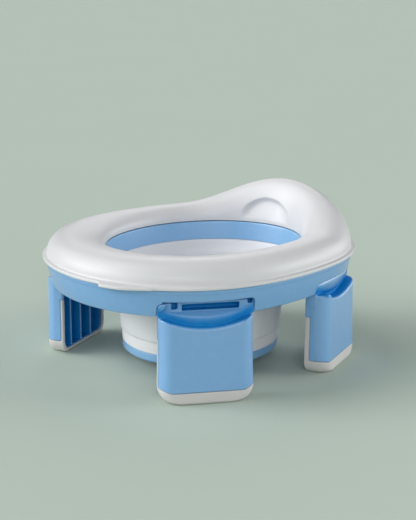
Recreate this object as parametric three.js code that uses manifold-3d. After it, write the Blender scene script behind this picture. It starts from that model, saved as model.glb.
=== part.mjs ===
// A folding travel potty: a puffy white seat over a blue base ring, a collapsible bowl hung in the
// middle, and four blue leg panels that swing on pins in windows of the ring.
// Millimetres, +Z up, origin on the floor under the middle of the seat, +Y towards the raised end.
// Front means -Y, right means +X. Plan angles (phi) run from -Y towards +X.
import * as THREE from "three";
import { mergeVertices } from "three/addons/utils/BufferGeometryUtils.js";
import { ParametricGeometry } from "three/addons/geometries/ParametricGeometry.js";
import Module from "manifold-3d";

const wasm = await Module();
wasm.setup();

// ---------------------------------------------------------------- driving dimensions
const GAP = 0.3; // clearance between neighbouring pieces

// Outline of the seat flange in plan: r(phi) = sum OUTLINE[k] cos(k phi) about (0, OUTLINE_Y)
const OUTLINE = [136.76, 10.95, 10.02, -0.56, -1.78];
const OUTLINE_Y = 10.4;

// Seat
const FLANGE_Z = 97.4; // underside of the flange
const FLANGE_T = 2.8;
const CREST_Z = 118.6; // height of the crest at the sides
const CREST_IN = 25; // crest distance inside the flange edge
const RAISE_H = 28.5; // how far the raised end stands above the crest
const RAISE_IN = 5; // how much further in the crest lies there
const RAISE_PHI = 187; // middle of the raised end, degrees
// Each side of the raised end: half its angle, and the power that shapes its slope
const RAISE_RIGHT = { half: 63, power: 1.4 };
const RAISE_LEFT = { half: 54, power: 1.6 };
const OPEN_A = 94; // opening, half length
const OPEN_B = 81; // opening, half width
const OPEN_Y = 2.9; // middle of the opening
const LIP_Z = 104.5; // lower edge of the seat round the opening
const SEAT_T = 2.6;
const SEAT_WALL_IN = 7.2; // inset of the inner surface at the flange
const NICHE_PHI = 195; // middle of the arched recess inside the raised end, degrees
const NICHE_HALF = 20;
const NICHE_DEEP = 6.5;
const NICHE_H = 19.5;
const TAB_PHI = [14.3, 33.5]; // ends of the finger tab on the flange, degrees
const TAB_OUT = 6.5;

// Base ring
const RING_TOP = FLANGE_Z - GAP;
const RING_BOT = 73;
const RING_IN_TOP = 2.4; // wall inset from the flange edge, top and bottom
const RING_IN_BOT = 9.1;
const RING_T = 2.6;
const DECK_T = 2.8;
const DECK_LIP = { z: 88.4, inner: 2.1, outer: 4.4 }; // lower edge; faces, outside the opening
const RING_RIBS = [0, 12, 90, 172, 180, 188, 270, 348]; // phi, degrees
const RIB_T = 1.8;

// Bowl
const RIM_TOP = 104.1;
const RIM_BOT = 87.2;
const RIM_TAPER = 2.8;
const CUP_A = 72.2; // cup, half length
const CUP_B = 70.2; // cup, half width
const CUP_Y = -2.4;
const BASE_BOT = 9;
const BASE_TOP = 17.6;
const FOLD_Z = 28.2; // where the soft wall overlaps the cup wall

// Legs
const LEG_W = 79;
const LEG_D = 20.5;
const LEG_TOP = 72.2;
const LEG_R = 14; // vertical corners of the outer face
const LEG_R_BOT = 16; // lower corners, seen from outside
const LEG_T = 3.6; // wall
const LEG_OUT = 2.9; // outer face, inside the flange edge
const LEG_PHI = { front: 50.4, back: 121.5 }; // where a leg's mid-line meets the flange edge
const LEG_RIBS = [-18.5, 0, 18.5];
const AXIS_Z = 78.5; // hinge axis
const AXIS_IN = 14; // hinge axis behind the outer face
const PIN_R = 1.4;
const NECK_W = 79.2;
const NECK_BOT = 61;
const NECK_TOP = 85;
const WINDOW_W = 80.6;
const WINDOW = { front: { top: 86.6, radius: 4 }, back: { top: 83.3, radius: 1 } };
const SCOOP_Z = 64.3; // top edge of the outer face, middle of the leg
const SCOOP_RISE = 8; // how much higher it is at SCOOP_HALF from the middle
const SCOOP_HALF = 36;
const TRIM_T = 2.0;
const TRIM_BAND = 10.3;
const TRIM_STRIP = [4.6, 2.1]; // width up the inner edges, at the leg's own -Y and +Y
const TRIM_TOP = 52;

// ---------------------------------------------------------------- plan curves
const rad = (degrees) => (degrees * Math.PI) / 180;
const deg = (angle) => (angle * 180) / Math.PI;

// Point and outward normal of the flange edge at phi (radians).
function edge(phi) {
  const at = (angle) => {
    const r = OUTLINE.reduce((sum, c, k) => sum + c * Math.cos(k * angle), 0);
    return new THREE.Vector2(r * Math.sin(angle), OUTLINE_Y - r * Math.cos(angle));
  };
  const tangent = at(phi + 1e-4).sub(at(phi - 1e-4)).normalize();
  return { point: at(phi), normal: new THREE.Vector2(tangent.y, -tangent.x) };
}
// [x, y] at a distance outside the flange edge, along its normal.
function offEdge(phi, out) {
  const { point, normal } = edge(phi);
  return [point.x + normal.x * out, point.y + normal.y * out];
}
function opening(phi) {
  const r = 1 / Math.hypot(Math.sin(phi) / OPEN_B, Math.cos(phi) / OPEN_A);
  return new THREE.Vector2(r * Math.sin(phi), OPEN_Y - r * Math.cos(phi));
}
// Distance from the flange edge to the opening at the same phi.
const span = (phi) => edge(phi).point.distanceTo(opening(phi));
// A point inset from the flange edge, towards the opening.
function between(phi, inset, z) {
  const { point } = edge(phi);
  const inward = opening(phi).sub(point).normalize();
  return new THREE.Vector3(point.x + inward.x * inset, point.y + inward.y * inset, z);
}
// A point at a distance outside the cup's ellipse.
const onCup = (phi, out, z) =>
  new THREE.Vector3((CUP_B + out) * Math.sin(phi), CUP_Y - (CUP_A + out) * Math.cos(phi), z);

// ---------------------------------------------------------------- solids
function solid(geometry) {
  const bare = geometry.clone();
  bare.deleteAttribute("normal");
  bare.deleteAttribute("uv");
  const merged = mergeVertices(bare, 1e-4);
  return new wasm.Manifold(
    new wasm.Mesh({
      numProp: 3,
      vertProperties: merged.attributes.position.array,
      triVerts: new Uint32Array(merged.index.array),
    }),
  );
}
// Solid of an indexed geometry, turned right side out if its faces point inwards.
function outwardSolid(geometry) {
  const first = solid(geometry);
  if (first.volume() > 0) return first;
  const index = geometry.index.array;
  for (let i = 0; i < index.length; i += 3) {
    [index[i + 1], index[i + 2]] = [index[i + 2], index[i + 1]];
  }
  return solid(geometry);
}
function geometryOf(body) {
  const mesh = body.getMesh();
  const geometry = new THREE.BufferGeometry()
    .setAttribute("position", new THREE.Float32BufferAttribute(mesh.vertProperties, 3))
    .setIndex(new THREE.BufferAttribute(new Uint32Array(mesh.triVerts), 1));
  geometry.computeVertexNormals();
  return geometry;
}
// A closed ring swept round Z. section(phi) gives the same number of points each time;
// place(phi, ...point) puts each one in space.
function sweptRing(section, steps, place) {
  const rows = [];
  for (let i = 0; i < steps; i++) {
    const phi = (2 * Math.PI * i) / steps;
    rows.push(section(phi).map((point) => place(phi, ...point)));
  }
  const count = rows[0].length;
  const surface = (u, v, target) =>
    target.copy(rows[Math.round(u * steps) % steps][Math.round(v * count) % count]);
  return outwardSolid(new ParametricGeometry(surface, steps, count));
}

// Prisms are named by the plane their shape is drawn in.
const XZ_PLANE = new THREE.Matrix4().set(1, 0, 0, 0, 0, 0, -1, 0, 0, 1, 0, 0, 0, 0, 0, 1);
const YZ_PLANE = new THREE.Matrix4().set(0, 0, 1, 0, 1, 0, 0, 0, 0, 1, 0, 0, 0, 0, 0, 1);
const extrude = (shape, depth, curveSegments = 6) =>
  new THREE.ExtrudeGeometry(shape, { depth, bevelEnabled: false, curveSegments });
const prismXY = (shape, z0, z1, segments) =>
  solid(extrude(shape, z1 - z0, segments).translate(0, 0, z0));
const prismXZ = (shape, y0, y1, segments) =>
  solid(extrude(shape, y1 - y0, segments).applyMatrix4(XZ_PLANE).translate(0, y1, 0));
const prismYZ = (shape, x0, x1, segments) =>
  solid(extrude(shape, x1 - x0, segments).applyMatrix4(YZ_PLANE).translate(x0, 0, 0));
function box(x0, x1, y0, y1, z0, z1) {
  const block = new THREE.BoxGeometry(x1 - x0, y1 - y0, z1 - z0);
  return solid(block.translate((x0 + x1) / 2, (y0 + y1) / 2, (z0 + z1) / 2));
}
const polygon = (points) => new THREE.Shape(points.map(([a, b]) => new THREE.Vector2(a, b)));
// Rectangle a0..a1 by b0..b1; radii at low a low b, high a low b, high a high b, low a high b.
function rounded(a0, a1, b0, b1, [r0, r1, r2, r3]) {
  const shape = new THREE.Shape();
  shape.moveTo(a0 + r0, b0);
  shape.lineTo(a1 - r1, b0);
  if (r1) shape.absarc(a1 - r1, b0 + r1, r1, -Math.PI / 2, 0);
  shape.lineTo(a1, b1 - r2);
  if (r2) shape.absarc(a1 - r2, b1 - r2, r2, 0, Math.PI / 2);
  shape.lineTo(a0 + r3, b1);
  if (r3) shape.absarc(a0 + r3, b1 - r3, r3, Math.PI / 2, Math.PI);
  shape.lineTo(a0, b0 + r0);
  if (r0) shape.absarc(a0 + r0, b0 + r0, r0, Math.PI, 1.5 * Math.PI);
  return shape;
}
// A rod on the hinge axis of a leg, its middle at y.
function hingeRod(radius, length, y) {
  const rod = new THREE.CylinderGeometry(radius, radius, length, 10).translate(0, y, 0);
  return solid(rod).translate([0, 0, AXIS_Z]);
}
const placed = (body, { x, y, angle }) => body.rotate([0, 0, deg(angle)]).translate([x, y, 0]);

// ---------------------------------------------------------------- leg places
function legPlace(phi, mirror) {
  const { normal } = edge(phi);
  const [x, y] = offEdge(phi, -(LEG_OUT + AXIS_IN));
  const angle = Math.atan2(normal.y, normal.x);
  return mirror ? { x: -x, y, angle: Math.PI - angle } : { x, y, angle };
}
const LEGS = ["front", "back"].flatMap((end) =>
  ["right", "left"].map((side) => ({
    name: `${end}_${side}`,
    end,
    place: legPlace(rad(LEG_PHI[end]), side === "left"),
  })),
);

// ---------------------------------------------------------------- seat
function smooth(t) {
  const x = Math.min(1, Math.max(0, t));
  return x * x * (3 - 2 * x);
}
// Outer surface as [inset, z] points from under the flange, over the crest, to the lip.
function seatOutside(phi) {
  const width = span(phi);
  const degrees = deg(phi);
  const away = Math.abs(degrees - RAISE_PHI);
  const { half, power } = degrees < RAISE_PHI ? RAISE_RIGHT : RAISE_LEFT;
  const raise = away < half ? Math.pow(Math.cos((Math.PI / 2) * (away / half)), power) : 0;
  const crestZ = CREST_Z + RAISE_H * raise;
  const crestIn = CREST_IN + RAISE_IN * raise;
  const flangeTop = FLANGE_Z + FLANGE_T;
  const points = [
    [0.5, FLANGE_Z],
    [0, FLANGE_Z + 0.6],
    [0, flangeTop - 0.7],
    [0.9, flangeTop],
    [3.4, flangeTop + 0.2],
  ];
  // Quarter ellipse up to the crest
  const footIn = 4.4;
  const footZ = flangeTop + 1.4;
  const upSteps = 5;
  for (let i = 0; i <= upSteps; i++) {
    const turn = (Math.PI / 2) * (i / upSteps);
    points.push([
      footIn + (crestIn - footIn) * (1 - Math.cos(turn)),
      footZ + (crestZ - footZ) * Math.sin(turn),
    ]);
  }
  // Quarter ellipse down to the opening, pushed back in the niche
  const endZ = LIP_Z + 1.6;
  const downSteps = 7;
  const nicheAway = Math.abs(degrees - NICHE_PHI) / NICHE_HALF;
  const arch = nicheAway < 1 ? Math.sqrt(1 - nicheAway * nicheAway) : 0;
  const nicheTop = endZ + NICHE_H * arch;
  for (let i = 1; i <= downSteps; i++) {
    const turn = (Math.PI / 2) * (i / downSteps);
    const z = endZ + (crestZ - endZ) * Math.cos(turn);
    const fade = smooth(arch * 1.6) * smooth((nicheTop - z) / 3.5) * smooth((z - endZ + 1) / 9);
    points.push([crestIn + (width - crestIn) * Math.sin(turn) - NICHE_DEEP * fade, z]);
  }
  points.push([width + 0.2, LIP_Z + 0.4], [width - 0.2, LIP_Z]);
  return points;
}
function seatSection(phi) {
  const outside = seatOutside(phi);
  const lipIn = span(phi) - SEAT_T;
  // Inner surface: the body of the outer surface moved in by the wall.
  const inside = [[SEAT_WALL_IN, FLANGE_Z + FLANGE_T + 1.6]];
  for (let i = 6; i < outside.length - 2; i++) {
    const before = outside[i - 1];
    const after = outside[i + 1];
    const run = after[0] - before[0];
    const rise = after[1] - before[1];
    const length = Math.hypot(run, rise) || 1;
    inside.push([
      outside[i][0] + (rise / length) * SEAT_T,
      outside[i][1] - (run / length) * SEAT_T,
    ]);
  }
  const last = inside.pop();
  inside.push([lipIn, Math.max(LIP_Z + 1.2, last[1])]);
  return [...outside, [lipIn, LIP_Z], ...inside.reverse(), [SEAT_WALL_IN, FLANGE_Z]];
}
// Finger tab: the flange grows outwards over a short length, with rounded ends.
function fingerTab() {
  const [start, end] = TAB_PHI.map(rad);
  const steps = 14;
  const roundSteps = 2.2;
  const overlap = 3;
  const outer = [];
  const inner = [];
  for (let i = 0; i <= steps; i++) {
    const phi = start + ((end - start) * i) / steps;
    const grown = Math.min(1, Math.min(i, steps - i) / roundSteps);
    outer.push(offEdge(phi, TAB_OUT * Math.sqrt(1 - (1 - grown) ** 2)));
    inner.push(offEdge(phi, -overlap));
  }
  const shape = polygon([...outer, ...inner.reverse()]);
  return prismXY(shape, FLANGE_Z + 0.01, FLANGE_Z + FLANGE_T - 0.2);
}
const makeSeat = () => sweptRing(seatSection, 60, between).add(fingerTab());

// ---------------------------------------------------------------- base ring
// Inset of the ring's outer wall at height z: nearly flush under the flange, drawn in lower down.
function ringInset(z) {
  const depth = (RING_TOP - z) / (RING_TOP - RING_BOT);
  return RING_IN_TOP + (RING_IN_BOT - RING_IN_TOP) * Math.pow(depth, 1.5);
}
function ringSection(phi) {
  const width = span(phi);
  const deckBot = RING_TOP - DECK_T;
  return [
    [RING_IN_BOT + 0.4, RING_BOT],
    [RING_IN_BOT - 0.15, RING_BOT + 0.6],
    ...[77, 82, 88].map((z) => [ringInset(z), z]),
    [RING_IN_TOP, RING_TOP],
    [width - DECK_LIP.inner, RING_TOP],
    [width - DECK_LIP.inner, DECK_LIP.z],
    [width - DECK_LIP.outer, DECK_LIP.z],
    [width - DECK_LIP.outer, deckBot],
    ...[deckBot, 86, 79].map((z) => [ringInset(z) + RING_T, z]),
    [RING_IN_BOT + RING_T, RING_BOT],
  ];
}
// Radial rib under the deck, from the wall to the deck's lip.
function ringRib(phi) {
  const outer = between(phi, ringInset(85) + 1.2, 0);
  const run = between(phi, span(phi) - 3.2, 0).sub(outer);
  const length = Math.hypot(run.x, run.y);
  return placed(box(0, length, -RIB_T / 2, RIB_T / 2, 82, RING_TOP - 1), {
    x: outer.x,
    y: outer.y,
    angle: Math.atan2(run.y, run.x),
  });
}
function makeRing() {
  // Trims what is joined to the ring, so that nothing shows through its outer skin.
  const outline = Array.from({ length: 60 }, (_, i) =>
    offEdge((2 * Math.PI * i) / 60, -(RING_IN_BOT + 0.5)),
  );
  const inside = prismXY(polygon(outline), 60, 120);
  let ring = sweptRing(ringSection, 60, between);
  for (const degrees of RING_RIBS) ring = ring.add(ringRib(rad(degrees)).intersect(inside));
  for (const { end, place } of LEGS) {
    // Window for the neck of the leg, open at the bottom.
    const { top, radius } = WINDOW[end];
    const shape = rounded(-WINDOW_W / 2, WINDOW_W / 2, 60, top, [0, 0, radius, radius]);
    ring = ring.subtract(placed(prismYZ(shape, -9, 24), place));
    // Block with a pin hole at each end of the window.
    for (const side of [-1, 1]) {
      const y0 = side > 0 ? 40.7 : -46;
      const block = placed(box(-4, 6, y0, y0 + 5.3, 73.6, 83.5), place);
      ring = ring
        .add(block.intersect(inside))
        .subtract(placed(hingeRod(PIN_R + GAP, 4, side * 40.8), place));
    }
  }
  return ring;
}

// ---------------------------------------------------------------- bowl
function rimSection(phi) {
  const width = span(phi);
  const ledge = RING_TOP + GAP; // underside of the rim's ledge, which rests over the deck
  return [
    [width - 8.5, ledge],
    [width - 8.5, ledge + 2],
    [width - 1.6, ledge + 2],
    [width - 1.6, RIM_TOP - 0.8],
    [width - 0.9, RIM_TOP],
    [width + 0.3, RIM_TOP],
    [width + 1.0, RIM_TOP - 0.8],
    [width + 0.9 + RIM_TAPER, RIM_BOT],
    [width - 1.5 + RIM_TAPER, RIM_BOT],
    [width - 1.6, ledge],
  ];
}
// Soft wall: from the rim, a short shoulder, then a steep cone down to the fold.
function makeBowlWall() {
  const thickness = 1.2;
  // [blend, z], where blend 1 follows the rim and 0 the cup
  const profile = [
    [1, RIM_BOT - GAP],
    [0.9, 83.8],
    [0.5, 78],
    [0.36, 73],
    [0.15, 50],
    [0, FOLD_Z + 0.6],
  ];
  const layer = (inset) => profile.map(([blend, z]) => [blend, inset, z]);
  const section = [...layer(0), ...layer(thickness).reverse()];
  const place = (phi, blend, inset, z) =>
    between(phi, span(phi) + RIM_TAPER - 1.4 + inset, z).lerp(
      onCup(phi, 1.5 - inset, z),
      1 - blend,
    );
  return sweptRing(() => section, 48, place);
}
function makeCupWall() {
  // [distance outside the cup's ellipse, z]
  const section = [
    [-1.3, BASE_TOP + GAP],
    [0, BASE_TOP + GAP],
    [0, FOLD_Z + 5],
    [-0.4, FOLD_Z + 5.6],
    [-0.9, FOLD_Z + 5.6],
    [-1.3, FOLD_Z + 5],
  ];
  return sweptRing(() => section, 48, onCup);
}
// Hard base: a shallow dish with a foot ring.
function makeBowlBase() {
  // [radius, z]
  const profile = [
    [0, BASE_BOT + 1.4],
    [52, BASE_BOT + 1.4],
    [54, BASE_BOT],
    [64, BASE_BOT],
    [CUP_A - 1.6, BASE_BOT + 0.9],
    [CUP_A, BASE_BOT + 3.4],
    [CUP_A, BASE_TOP],
    [CUP_A - 2.4, BASE_TOP],
    [CUP_A - 3.6, BASE_BOT + 4.4],
    [0, BASE_BOT + 3.8],
  ].map(([r, z]) => new THREE.Vector2(r, z));
  const dish = new THREE.LatheGeometry(profile, 48)
    .rotateX(Math.PI / 2)
    .scale(CUP_B / CUP_A, 1, 1)
    .translate(0, CUP_Y, 0);
  return outwardSolid(dish);
}

// ---------------------------------------------------------------- legs
// Local frame of a leg: +X out of the seat, Y along the hinge axis, Z up, hinge axis at x = 0.
const X1 = AXIS_IN;
const X0 = AXIS_IN - LEG_D;
const HALF_LEG = LEG_W / 2;
const HALF_NECK = NECK_W / 2;

// The leg's outside, moved in by inset; open goes past the inner side.
function legBody(inset, { open = false, top = LEG_TOP } = {}) {
  const x0 = open ? X0 - 15 : X0 + inset;
  const x1 = X1 - inset;
  const half = HALF_LEG - inset;
  const innerR = open ? 0 : 1;
  const outerR = LEG_R - inset;
  const lowR = LEG_R_BOT - inset;
  const plan = rounded(x0, x1, -half, half, [innerR, outerR, outerR, innerR]);
  const face = rounded(-half, half, inset, top, [lowR, lowR, 0, 0]);
  const side = rounded(x0, x1, inset, top, [open ? 0 : 5 - inset, 4 - inset / 2, 0, 0]);
  return prismXY(plan, -1, top, 3)
    .intersect(prismYZ(face, X0 - 16, X1 + 1, 4))
    .intersect(prismXZ(side, -HALF_LEG - 1, HALF_LEG + 1, 2));
}
// Space above the scooped top edge, outwards from x0, lowered by drop.
function aboveScoop(drop, x0) {
  const points = [];
  for (let y = -40; y <= 40; y += 5) {
    const z = SCOOP_Z + SCOOP_RISE * Math.pow(Math.abs(y) / SCOOP_HALF, 2.1);
    points.push([y, Math.min(LEG_TOP, z) - drop]);
  }
  return prismYZ(polygon([...points, [41, 95], [-41, 95]]), x0, X1 + 2);
}
// How fast the flange edge falls away from a leg's mid-line, x = -sag y^2.
function localSag(degrees) {
  const { point, normal } = edge(rad(degrees));
  const tangent = new THREE.Vector2(-normal.y, normal.x);
  let sum = 0;
  for (const step of [-14, 14]) {
    const offset = edge(rad(degrees + step)).point.sub(point);
    const y = offset.dot(tangent);
    sum += -offset.dot(normal) / (y * y);
  }
  return sum / 2;
}
// Trims a neck to its side profile and hollows it from inside.
function trimNeck(neck) {
  const profile = polygon([
    [-5.5, NECK_BOT], [16, NECK_BOT], [16, NECK_TOP],
    [-2.2, NECK_TOP], [-4.2, 83], [-5, 80],
  ]);
  return neck
    .intersect(prismXZ(profile, -HALF_NECK, HALF_NECK))
    .subtract(box(-8, 0.2, -26, 26, 60, 76.2));
}
// Front neck: follows the ring in plan, with a flat slotted face above a sloping ledge.
function frontNeck(sag) {
  const reach = X1 - RING_IN_BOT + LEG_OUT - 0.1;
  const steps = 12;
  const front = [];
  for (let i = 0; i <= steps; i++) {
    const y = -HALF_NECK + (NECK_W * i) / steps;
    front.push([Math.max(reach - y * y * sag, 2.4), y]);
  }
  const plan = polygon([[-5, -HALF_NECK], ...front, [-5, HALF_NECK]]);
  const profile = polygon([
    [-5.5, NECK_BOT], [9.5, NECK_BOT], [9.5, 71.5], [2.5, 77.5],
    [2.5, 84.2], [1.7, NECK_TOP], [-5.5, NECK_TOP],
  ]);
  let neck = prismXY(plan, 60, 90).intersect(prismXZ(profile, -HALF_NECK, HALF_NECK));
  // Cheek at the -Y end, flush with the ring, in two steps: y from, y to, x of the flange edge
  const cheekBot = 72.6;
  const cheekTop = 82.6;
  for (const [y0, y1, edgeX] of [
    [-HALF_NECK, -36.6, 10.7],
    [-36.6, -33.6, 11.5],
  ]) {
    const cheek = polygon([
      [-4, cheekBot],
      ...[cheekBot, 75, 78.5, cheekTop].map((z) => [edgeX - ringInset(z), z]),
      [edgeX - ringInset(cheekTop) - 1, cheekTop + 1],
      [-4, cheekTop + 1],
    ]);
    neck = neck.add(prismXZ(cheek, y0, y1));
  }
  return trimNeck(neck)
    .subtract(box(-2.6, 4, -19.8, 27.5, 77.9, 82.7)) // slot
    .subtract(box(-2.4, 4, -28.5, -23.6, 79.4, 88)) // pockets at the ends of the slotted face
    .subtract(box(-2.4, 4, 34.8, 38.6, 77.6, 88));
}
// Back neck: a barrel on the hinge axis that fills the window, on a flat web.
function backNeck(sag) {
  const steps = 8;
  const profile = [new THREE.Vector2(0, -HALF_NECK)];
  for (let i = 0; i <= steps; i++) {
    const y = -HALF_NECK + (NECK_W * i) / steps;
    profile.push(new THREE.Vector2(10.2 - y * y * sag, y));
  }
  profile.push(new THREE.Vector2(0, HALF_NECK));
  const barrel = outwardSolid(new THREE.LatheGeometry(profile, 28)).translate([0, 0, AXIS_Z]);
  return trimNeck(barrel.add(box(-5, 3.4, -HALF_NECK, HALF_NECK, NECK_BOT, AXIS_Z)));
}
// Where the grip trim lies: round the bottom and up the two inner edges, grown by extra.
function trimZone(extra) {
  // Upper edge of the band: [y, height above TRIM_BAND]
  const rise = [[30, 0], [34, 0.6], [38, 1.9], [42, 2.2]].map(([y, z]) => [
    y,
    TRIM_BAND + extra + z,
  ]);
  const mirrored = rise.map(([y, z]) => [-y, z]);
  const band = polygon([[-42, -2], [42, -2], ...rise.reverse(), ...mirrored]);
  const [low, high] = TRIM_STRIP.map((width) => X0 + width + extra);
  const top = TRIM_TOP + extra;
  return prismYZ(band, X0 - 2, X1 + 2)
    .add(box(X0 - 2, low, -HALF_LEG - 2, 0, -1.9, top))
    .add(box(X0 - 2, high, -0.1, HALF_LEG + 2, -1.9, top));
}
function makeLeg(neck) {
  const outer = legBody(0);
  const hollow = legBody(LEG_T, { open: true, top: LEG_TOP - 4 }).subtract(aboveScoop(3.2, -1.5));
  let shell = outer.subtract(hollow);
  const within = legBody(2.6, { top: LEG_TOP - 2 });
  for (const y of LEG_RIBS) {
    shell = shell.add(box(-3, X1, y - 1, y + 1, 2, LEG_TOP - 2).intersect(within));
  }
  // Scoop in the top of the outer face: room for the ring when the leg swings out.
  shell = shell.subtract(aboveScoop(0, 1)).add(neck);
  for (const side of [-1, 1]) shell = shell.subtract(hingeRod(PIN_R + GAP, 12, side * 39));
  // Grip trim: a skin let into a rebate in the shell.
  const trim = outer.subtract(legBody(TRIM_T)).intersect(trimZone(0)).subtract(hollow);
  const rebate = legBody(-1).subtract(legBody(TRIM_T + GAP)).intersect(trimZone(GAP));
  return { shell: shell.subtract(rebate), trim };
}

// ---------------------------------------------------------------- materials
const plastic = (color, roughness, metalness = 0) =>
  new THREE.MeshStandardMaterial({ color, roughness, metalness });
const white = plastic(0xe9eaec, 0.28);
const blue = plastic(0x7fb0e0, 0.34);
const softWhite = plastic(0xdfe0e2, 0.55);
const gripWhite = plastic(0xe6e3e0, 0.62);
const pinGrey = new THREE.MeshStandardMaterial({
  color: 0xb9bdc2,
  roughness: 0.35,
  metalness: 0.9,
});

// ---------------------------------------------------------------- assembly
const root = new THREE.Group();
function add(name, body, material, parent = root) {
  const mesh = new THREE.Mesh(geometryOf(body), material);
  mesh.name = name;
  parent.add(mesh);
}

add("seat_ring", makeSeat(), white);
add("base_ring", makeRing(), blue);

const bowl = new THREE.Group();
root.add(bowl);
add("bowl_rim", sweptRing(rimSection, 48, between), blue, bowl);
add("bowl_wall", makeBowlWall(), softWhite, bowl);
add("bowl_cup_wall", makeCupWall(), softWhite, bowl);
add("bowl_base", makeBowlBase(), blue, bowl);

const made = {
  front: makeLeg(frontNeck(localSag(LEG_PHI.front))),
  back: makeLeg(backNeck(localSag(LEG_PHI.back))),
};
for (const { name, end, place } of LEGS) {
  const leg = new THREE.Group();
  leg.position.set(place.x, place.y, 0);
  leg.rotation.z = place.angle;
  root.add(leg);
  add(`leg_shell_${name}`, made[end].shell, blue, leg);
  add(`leg_trim_${name}`, made[end].trim, gripWhite, leg);
  add(`hinge_pin_${name}_a`, hingeRod(PIN_R, 9, -38), pinGrey, leg);
  add(`hinge_pin_${name}_b`, hingeRod(PIN_R, 9, 38), pinGrey, leg);
}

export default root;
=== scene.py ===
"""A seat ring on four legs, with a base ring under it and a bowl in its opening.

The front faces -Y, the right side +X, and the legs stand on z = 0. Sizes are in mm and
become metres as each mesh is made. phi is the angle round the outline seen from above,
0 at the front and 90 degrees at the right.
"""
import math

import bmesh
import bpy
import numpy as np
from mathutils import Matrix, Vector

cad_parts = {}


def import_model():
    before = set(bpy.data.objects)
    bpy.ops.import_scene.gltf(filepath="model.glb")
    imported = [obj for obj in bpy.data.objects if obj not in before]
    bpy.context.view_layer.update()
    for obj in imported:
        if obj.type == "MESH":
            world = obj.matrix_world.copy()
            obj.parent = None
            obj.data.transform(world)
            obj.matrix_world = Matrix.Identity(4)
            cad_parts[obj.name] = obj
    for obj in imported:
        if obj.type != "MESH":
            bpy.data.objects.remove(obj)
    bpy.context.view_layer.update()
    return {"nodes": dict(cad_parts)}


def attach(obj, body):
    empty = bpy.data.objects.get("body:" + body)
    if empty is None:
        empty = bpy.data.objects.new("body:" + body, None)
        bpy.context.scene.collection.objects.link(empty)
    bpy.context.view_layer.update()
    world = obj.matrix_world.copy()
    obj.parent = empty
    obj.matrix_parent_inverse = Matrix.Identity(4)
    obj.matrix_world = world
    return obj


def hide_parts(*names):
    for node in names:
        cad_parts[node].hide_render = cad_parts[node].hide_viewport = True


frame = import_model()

# ------------------------------------------------------------------ dimensions, mm
GAP = 0.3  # between neighbouring pieces

# flange edge: cosine terms of its radius about (0, OUTLINE_Y)
OUTLINE = (136.76, 10.95, 10.02, -0.56, -1.78)
OUTLINE_Y = 10.4
# opening: an ellipse, half length along y, half width along x, centre y
OPEN_A, OPEN_B, OPEN_Y = 94.0, 81.0, 2.9

# seat
SEAT_STEPS, SEAT_T = 720, 2.6
FLANGE_Z, FLANGE_T = 97.4, 2.8
FLANGE_TOP = FLANGE_Z + FLANGE_T
LIP_Z = 104.5
CREST_Z, CREST_IN = 118.6, 25.0
CREST_ROWS, BORE_ROWS = 30, 64  # section rows outside and inside the crest
# raise at the back: height, middle phi, then half width and power below and above that phi
RAISE_H, RAISE_PHI, RAISE_HALF, RAISE_POW = 28.5, 187.0, (63.0, 54.0), (1.4, 1.6)
# hollow in the inner face below the raise; half widths above and below its middle phi
NICHE_PHI, NICHE_HALF, NICHE_DEEP = 191.5, (17.0, 20.0), 3.6
TAB_PHI, TAB_OUT = (14.3, 33.5), 6.4

# base ring
RING_TOP, RING_BOT, RING_T, DECK_T = 97.1, 73.0, 2.6, 2.8
RING_IN_TOP, RING_IN_BOT = 2.9, 9.1  # inset from the flange edge at the top and bottom
RING_RIB_PHI = (0, 12, 90, 172, 180, 188, 270, 348)
WINDOW_W, WINDOW_TOP_FRONT, WINDOW_TOP_BACK = 80.6, 86.6, 83.3
RING_CELL = 0.9

# bowl
BOWL_STEPS, DISH_STEPS = 288, 192
RIM_TOP, RIM_BOT, RIM_TAPER = 104.1, 87.2, 2.8
CUP_A, CUP_B, CUP_Y = 72.2, 70.2, -2.4
BASE_BOT, BASE_TOP, FOLD_Z = 9.0, 17.6, 28.2
DISH_UNDER, DISH_FLOOR = BASE_BOT + 1.4, BASE_BOT + 3.8

# legs, each in its own frame: x outward from the pin axis, u along the outline, z up
LEG_W, LEG_D, LEG_TOP, LEG_R, LEG_R_BOT, LEG_T = 79.0, 20.5, 72.2, 12.5, 12.5, 3.6
LEG_OUT, AXIS_Z, AXIS_IN = 2.9, 78.5, 14.0
OUTER_X, INNER_X, HALF_W = AXIS_IN, AXIS_IN - LEG_D, LEG_W / 2
LEAN_Z = 36.0  # the sides lean outward below this height, inward above it
SCOOP_Z, SCOOP_RISE = 64.3, 8.0
LEG_RIB_U = (-18.5, 0, 18.5)
NECK_TOP, NECK_HALF = 85.0, 39.95
CHEEK, CHEEK_R = -33.6, 7.0  # u of the front neck's flush cheek, radius of its flare
# pockets in the front neck: u from, u to, bottom z, floor x
NECK_POCKETS = ((-28.5, -23.6, 79.2, -2.6), (34.8, 42.0, 77.4, 2.5), (34.8, 39.2, 81.3, -3.0))
PIN_R = 1.4
TRIM_T, TRIM_BAND, TRIM_STRIP, TRIM_TOP = 2.0, 10.3, (4.6, 2.1), 52.0
LEG_CELL = 0.7
FRONT_PHI, BACK_PHI = 50.4, 121.5
# phi, and whether the leg is mirrored to the left side
LEGS = {
    "front_right": (FRONT_PHI, False),
    "front_left": (FRONT_PHI, True),
    "back_right": (BACK_PHI, False),
    "back_left": (BACK_PHI, True),
}


# ------------------------------------------------------------------ outlines
def outline_radius(phi):
    return sum(term * np.cos(k * phi) for k, term in enumerate(OUTLINE))


def outline_slope(phi):
    return sum(-k * term * np.sin(k * phi) for k, term in enumerate(OUTLINE))


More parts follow.
